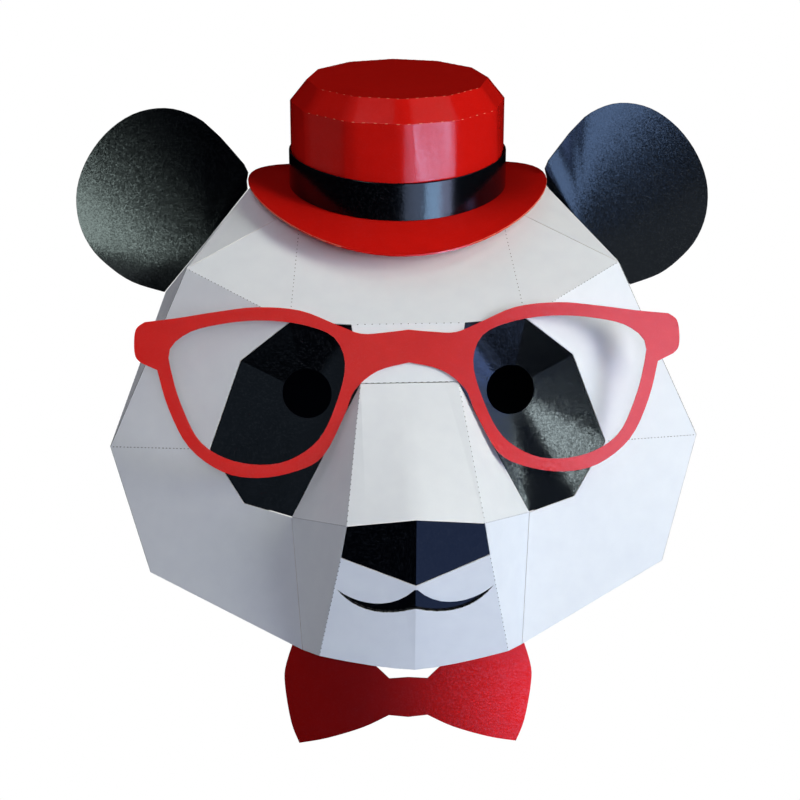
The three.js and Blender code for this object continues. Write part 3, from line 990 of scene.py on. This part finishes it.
@dataclass
class Hat:
    """The red hat: a crown with folded shoulders, a black band and a saddle-bent brim.

    Angles are in degrees. The crown's folds between fold_low and fold_high are dashed where they
    run around its axis, within level_to of square to it.
    """

    core: tuple[float, float, float] = (0.0, -0.035, 0.02)
    brim_core: tuple[float, float, float] = (0.0, -0.03, -0.5)
    bend_limit: float = 31.0
    fold_low: float = 25.0
    fold_high: float = 60.0
    dash_length: float = 1.5 * MM
    dash_width: float = 0.4 * MM
    dash_pitch: float = 2.3 * MM
    dash_seed: int = 5
    axis: tuple[float, float, float] = (0.0, 0.24, 0.97)
    level_to: float = 20.0

    def build(self, red: Finishes, black: Finishes, crease: bpy.types.Material) -> None:
        """Make the hat.

        Args:
            red: The finishes of red card.
            black: The finishes of black card.
            crease: The material of the pale dashes along its folds.
        """
        CardPiece("hat_crown", Slot.RED, self.core, self.bend_limit).build(red)
        CardPiece("hat_band", Slot.BLACK, self.core, self.bend_limit).build(black)
        CardPiece("hat_brim", Slot.RED, self.brim_core, self.bend_limit).build(red)
        self.crease(crease)

    def crease(self, finish: bpy.types.Material) -> None:
        """Lay dashes of bare core along the crown's folds that run around its axis.

        Args:
            finish: The dashes' material.
        """
        bm = copied_solid("hat_crown")
        cutter = SlitCutter("hat_fold_dashes", BVHTree.FromBMesh(bm), self.dash_seed)
        core = Vector(self.core)
        for edge in bm.edges:
            here, there = (v.co for v in edge.verts)
            turn = math.degrees(edge.calc_face_angle(0))
            out = sum((f.normal for f in edge.link_faces), Vector())
            outside = out.dot((here + there) / 2 - core) > 0
            lean = abs(math.degrees((there - here).angle(Vector(self.axis))) - 90)
            around = lean < self.level_to
            if self.fold_low < turn < self.fold_high and outside and around:
                cutter.row(here, there, self.dash_pitch, self.dash_length, self.dash_width)
        bm.free()
        cutter.build(finish, Slot.RED)


@dataclass
class Accessories:
    """The flat red cut-outs: glasses, and a bow tie glued on about a degree askew."""

    core: tuple[float, float, float] = (0.0, 0.5, -0.15)
    bow_turn: float = 1.1

    def build(self, red: Finishes) -> None:
        """Make the glasses and the bow tie.

        The grain of the black card is too coarse to mirror the rim of the glasses before it, so
        mirrored light passes through them.

        Args:
            red: The finishes of red card.
        """
        glasses = CardPiece("glasses", Slot.RED, self.core).build(red)
        glasses.visible_glossy = False
        CardPiece("bow_tie", Slot.RED, self.core, turn=self.bow_turn).build(red)


@dataclass(frozen=True)
class Lamp:
    """A soft rectangular lamp that looks at the mask. Angles in degrees, from the front."""

    name: str
    duty: Duty
    azimuth: float
    elevation: float
    width: float
    height: float
    watts: float
    colour: str
    reach: Reach = Reach.ALL
    distance: float = 2.0

    def build(self, target: Vector, flags: dict[Reach, bpy.types.Collection]) -> bpy.types.Object:
        """Make the lamp.

        Args:
            target: The point that it looks at.
            flags: For each reach short of all, the pieces that it lets in or keeps out.

        Returns:
            The lamp.
        """
        azimuth, elevation = math.radians(self.azimuth), math.radians(self.elevation)
        towards = Vector((
            math.sin(azimuth) * math.cos(elevation),
            -math.cos(azimuth) * math.cos(elevation),
            math.sin(elevation),
        ))
        light = bpy.data.lights.new(self.name, "AREA")
        light.shape = "RECTANGLE"
        light.size = self.width
        light.size_y = self.height
        light.energy = self.watts
        light.color = linear(self.colour)[:3]
        lamp = bpy.data.objects.new(self.name, light)
        turn = towards.to_track_quat("Z", "Y").to_matrix()
        lamp.matrix_world = Matrix.Translation(target + towards * self.distance) @ turn.to_4x4()
        lamp.visible_camera = False
        lamp.visible_glossy = self.duty is Duty.SHINE
        lamp.visible_diffuse = self.duty is Duty.LIGHT
        lamp.light_linking.receiver_collection = flags.get(self.reach)
        if self.duty is Duty.SHINE:
            lamp.light_linking.blocker_collection = flags[Reach.NOT_GLASSES]
        bpy.context.scene.collection.objects.link(lamp)
        return lamp


@dataclass(frozen=True)
class Spot:
    """A small lamp with a soft-edged round beam, flagged off from all but the bow tie.

    The beam is in degrees across.
    """

    name: str = "bow_spot"
    place: tuple[float, float, float] = (0.42, -1.15, -0.62)
    aim: tuple[float, float, float] = (0.07, -0.08, -0.245)
    beam: float = 7.2
    radius: float = 0.04
    watts: float = 80.0
    colour: str = "#fff4fa"

    def build(self, flags: dict[Reach, bpy.types.Collection]) -> bpy.types.Object:
        """Make the lamp.

        Args:
            flags: For each reach short of all, the pieces that it lets in or keeps out.

        Returns:
            The lamp.
        """
        light = bpy.data.lights.new(self.name, "SPOT")
        light.spot_size = math.radians(self.beam)
        light.spot_blend = 1.0
        light.shadow_soft_size = self.radius
        light.energy = self.watts
        light.color = linear(self.colour)[:3]
        lamp = bpy.data.objects.new(self.name, light)
        back = Vector(self.place) - Vector(self.aim)
        turn = back.to_track_quat("Z", "Y").to_matrix()
        lamp.matrix_world = Matrix.Translation(self.place) @ turn.to_4x4()
        lamp.visible_glossy = False
        lamp.light_linking.receiver_collection = flags[Reach.BOW]
        bpy.context.scene.collection.objects.link(lamp)
        return lamp


@dataclass
class Studio:
    """A white studio: soft lamps, a pale floor and backdrop, and the camera.

    The camera's angles are in degrees, its lens and sensor in millimetres and its shift in
    shares of the picture.
    """

    target: tuple[float, float, float] = (0.0, -0.08, -0.11)
    camera_place: tuple[float, float, float] = (-0.05484, -1.05693, 0.03166)
    camera_yaw: float = 3.2
    camera_pitch: float = 8.0
    camera_roll: float = -0.67
    lens: float = 90.4
    sensor: float = 36.0
    far_limit: float = 50.0
    shift: tuple[float, float] = (-0.0066, 0.0005)
    floor_drop: float = 0.1
    room_radius: float = 5.0
    ceiling: float = 8.0
    flat_share: float = 0.6
    room_sides: int = 48
    bend_steps: int = 12
    bow_spot: Spot = field(default_factory=Spot)
    ambient: float = 0.01
    ambient_colour: str = "#e6ecfa"
    lamps: tuple[Lamp, ...] = (
        Lamp("key_right", Duty.LIGHT, 45, 20, 0.5, 0.5, 12.6, "#fffeea", Reach.NOT_BOW),
        Lamp("key_right_low", Duty.LIGHT, 45, 5, 0.5, 0.5, 8.6, "#e2e6ff", Reach.NOT_BOW),
        Lamp("key_right_side", Duty.LIGHT, 55, 5, 0.5, 0.5, 10.0, "#fff8e8", Reach.NOT_BOW),
        Lamp("high_right", Duty.LIGHT, 45, 40, 0.5, 0.5, 5.2, "#f0ffe2", Reach.NOT_BOW),
        Lamp("front", Duty.LIGHT, 0, 10, 0.45, 0.45, 7.2, "#f8f7ff"),
        Lamp("front_high", Duty.LIGHT, -15, 30, 0.5, 0.5, 1.9, "#f4f6ff", Reach.NOT_BOW),
        Lamp("front_low", Duty.LIGHT, 5, -30, 0.6, 0.6, 1.2, "#c8d8ff", Reach.NOT_BOW),
        Lamp("high_left", Duty.LIGHT, -65, 35, 1.0, 1.0, 1.5, "#fbf1fc", Reach.NOT_BOW),
        Lamp("side_left", Duty.LIGHT, -95, 0, 1.2, 1.2, 5.7, "#fbffff"),
        Lamp("top_left", Duty.LIGHT, -75, 68, 1.0, 1.0, 3.7, "#fff0f3"),
        Lamp("low_right", Duty.LIGHT, 70, -55, 1.25, 1.25, 14.1, "#8bbbff", Reach.NOT_BOW),
        Lamp("rear", Duty.LIGHT, 180, 8, 1.5, 1.5, 14.0, "#f8faff"),
        Lamp("shine_left", Duty.SHINE, -34.5, 31, 0.42, 0.4, 4.2, "#e7fff9"),
        Lamp("shine_high_left", Duty.SHINE, -35, 45, 0.5, 0.4, 0.4, "#e7f6ff"),
        Lamp("shine_low_left", Duty.SHINE, -28, 3, 0.85, 0.63, 0.42, "#c5e1ff"),
        Lamp("shine_side_right", Duty.SHINE, 54, 13.5, 0.5, 0.5, 4.4, "#9cc2ff"),
        Lamp("shine_far_right", Duty.SHINE, 72, 10, 0.42, 0.42, 1.7, "#95b5ff"),
        Lamp("shine_high_right", Duty.SHINE, 47, 38, 1.1, 0.9, 1.3, "#daecff"),
        Lamp("shine_right", Duty.SHINE, 33, -1.5, 0.175, 0.12, 1.4, "#e8fcff"),
        Lamp("shine_inner_right", Duty.SHINE, 27.5, 8, 0.175, 0.25, 1.1, "#8fb0ff"),
        Lamp("shine_front", Duty.SHINE, 14.5, 8, 0.42, 0.56, 1.5, "#a8c4ff"),
        Lamp("shine_glasses", Duty.SHINE, 15, 6, 0.42, 0.63, 4.4, "#ffb4c0", Reach.GLASSES),
        Lamp("shine_low_right", Duty.SHINE, 24, -48, 0.85, 0.7, 2.1, "#8eafff"),
        Lamp("shine_under_right", Duty.SHINE, 26, -22, 0.85, 0.56, 1.1, "#afc8ff", Reach.NOT_BOW),
        Lamp("shine_hat", Duty.SHINE, 38, -30, 0.56, 0.85, 14.5, "#a8d2ff", Reach.HAT),
        Lamp("shine_hat_side", Duty.SHINE, 53, -29, 0.49, 0.85, 7.0, "#c6d2ff", Reach.HAT),
        Lamp("shine_hat_front", Duty.SHINE, 15, -30, 0.7, 0.85, 3.8, "#bed4ff", Reach.HAT),
        Lamp("shine_bow", Duty.SHINE, 14, -18, 0.35, 0.56, 2.2, "#c0c4ff", Reach.BOW),
    )

    def build(self) -> None:
        """Make lamps, backdrop and camera."""
        target = Vector(self.target)
        flags = self.flags()
        for lamp in self.lamps:
            lamp.build(target, flags)
        self.bow_spot.build(flags)
        self.world()
        self.backdrop()
        self.camera()
        bpy.context.scene.view_settings.view_transform = "Standard"

    def flags(self) -> dict[Reach, bpy.types.Collection]:
        """Set up the flags of the lamps.

        Returns:
            For each reach short of all, the pieces that the light is let on or kept from.
        """
        starts = {
            Reach.HAT: "hat_", Reach.BOW: "bow_", Reach.NOT_BOW: "bow_",
            Reach.GLASSES: "glasses_", Reach.NOT_GLASSES: "glasses_",
        }
        flags = {}
        for reach, start in starts.items():
            flag = bpy.data.collections.new(reach.value)
            for piece in bpy.context.scene.objects:
                if piece.name.startswith(start):
                    flag.objects.link(piece)
            for member in flag.collection_objects:
                if reach in (Reach.NOT_BOW, Reach.NOT_GLASSES):
                    member.light_linking.link_state = "EXCLUDE"
            flags[reach] = flag
        return flags

    def world(self) -> None:
        """Fill the room with weak even light."""
        world = bpy.data.worlds.new("room_light")
        world.use_nodes = True
        tree = world.node_tree
        tree.nodes.clear()
        glow = add_node(
            tree, "ShaderNodeBackground",
            {"Color": linear(self.ambient_colour), "Strength": self.ambient},
        )
        add_node(tree, "ShaderNodeOutputWorld", {"Surface": glow.outputs["Background"]})
        world.cycles_visibility.glossy = False
        bpy.context.scene.world = world

    def backdrop(self) -> None:
        """Make the pale floor and the paper that rises behind it on every side."""
        paper, tree = new_material("white_backdrop_paper")
        glow = add_node(tree, "ShaderNodeEmission", {"Color": linear("#ffffff"), "Strength": 1.0})
        add_node(tree, "ShaderNodeOutputMaterial", {"Surface": glow.outputs["Emission"]})
        floor = solid_box[0].z - self.floor_drop
        flat = self.flat_share * self.room_radius
        bend = self.room_radius - flat
        turns = [math.pi / 2 * (k + 1) / self.bend_steps for k in range(self.bend_steps)]
        profile = [(0.0, floor), (flat, floor)]
        profile += [(flat + bend * math.sin(t), floor + bend * (1 - math.cos(t))) for t in turns]
        profile += [(self.room_radius, self.room_radius), (0.0, self.ceiling)]
        bm = bmesh.new()
        around = [math.tau * k / self.room_sides for k in range(self.room_sides)]
        rings = [
            [bm.verts.new((r * math.cos(a), r * math.sin(a), z)) for a in around]
            for r, z in profile
        ]
        for low, high in zip(rings, rings[1:]):
            for k in range(self.room_sides):
                bm.faces.new((low[k], low[k - 1], high[k - 1], high[k]))
        bmesh.ops.remove_doubles(bm, verts=bm.verts, dist=MM)
        room = mesh_object("floor_and_backdrop", bm)
        room.data.materials.append(paper)
        room.visible_diffuse = False
        room.visible_glossy = False
        room.visible_transmission = False
        room.visible_shadow = False

    def camera(self) -> None:
        """Set the camera at the photograph's place and angle."""
        yaw, pitch = math.radians(self.camera_yaw), math.radians(self.camera_pitch)
        roll = math.radians(self.camera_roll)
        forward = Vector((
            math.sin(yaw) * math.cos(pitch), math.cos(yaw) * math.cos(pitch), -math.sin(pitch)
        ))
        level = Vector((math.cos(yaw), -math.sin(yaw), 0.0))
        upright = level.cross(forward)
        right = level * math.cos(roll) + upright * math.sin(roll)
        up = upright * math.cos(roll) - level * math.sin(roll)
        data = bpy.data.cameras.new("camera")
        data.lens = self.lens
        data.sensor_width = self.sensor
        data.shift_x, data.shift_y = self.shift
        data.clip_end = self.far_limit
        camera = bpy.data.objects.new("camera", data)
        turn = Matrix((right, up, -forward)).transposed()
        camera.matrix_world = Matrix.Translation(self.camera_place) @ turn.to_4x4()
        bpy.context.scene.collection.objects.link(camera)
        bpy.context.scene.camera = camera


def main() -> None:
    """Build the mask and its studio."""
    logging.basicConfig(level=logging.INFO, format="%(name)s: %(message)s")
    # The inner side of the white card is painted near-black: painted shade, so the inside of the
    # head looks as dark as the shade in it.
    painted_shade_back = BareFibre("black_lined_card_back", "#060608", "#0c0d10", 0.9).material()
    white = Finishes(
        WhiteCard().material(),
        BareFibre("cut_edge_of_white_card", "#f2f0ec", "#d8d8dc").material(),
        painted_shade_back,
    )
    black_face = PearlCard("black_pearl_card", "#020306", "#8f97a3", painted_glint=0.03).material()
    black = Finishes(
        black_face,
        BareFibre("cut_edge_of_black_card", "#08090c", "#14161a").material(),
        black_face,
    )
    red_face = PearlCard("red_pearl_card", "#ce150f", "#e8a0aa", painted_glint=0.015).material()
    red = Finishes(
        red_face, BareFibre("cut_edge_of_red_card", "#e0806a", "#c8503c").material(), red_face
    )
    # Dark grey painted shade inside each slit of the white card.
    slit = BareFibre("slit_in_white_card", "#3c3e44", "#5a5c62").material()
    crease = BareFibre("bare_core_of_red_card", "#e8967c", "#d0664e").material()
    Head().build(white, black, slit)
    Ears().build(black)
    Hat().build(red, black, crease)
    Accessories().build(red)
    Studio().build()


if __name__ == "__main__":
    main()
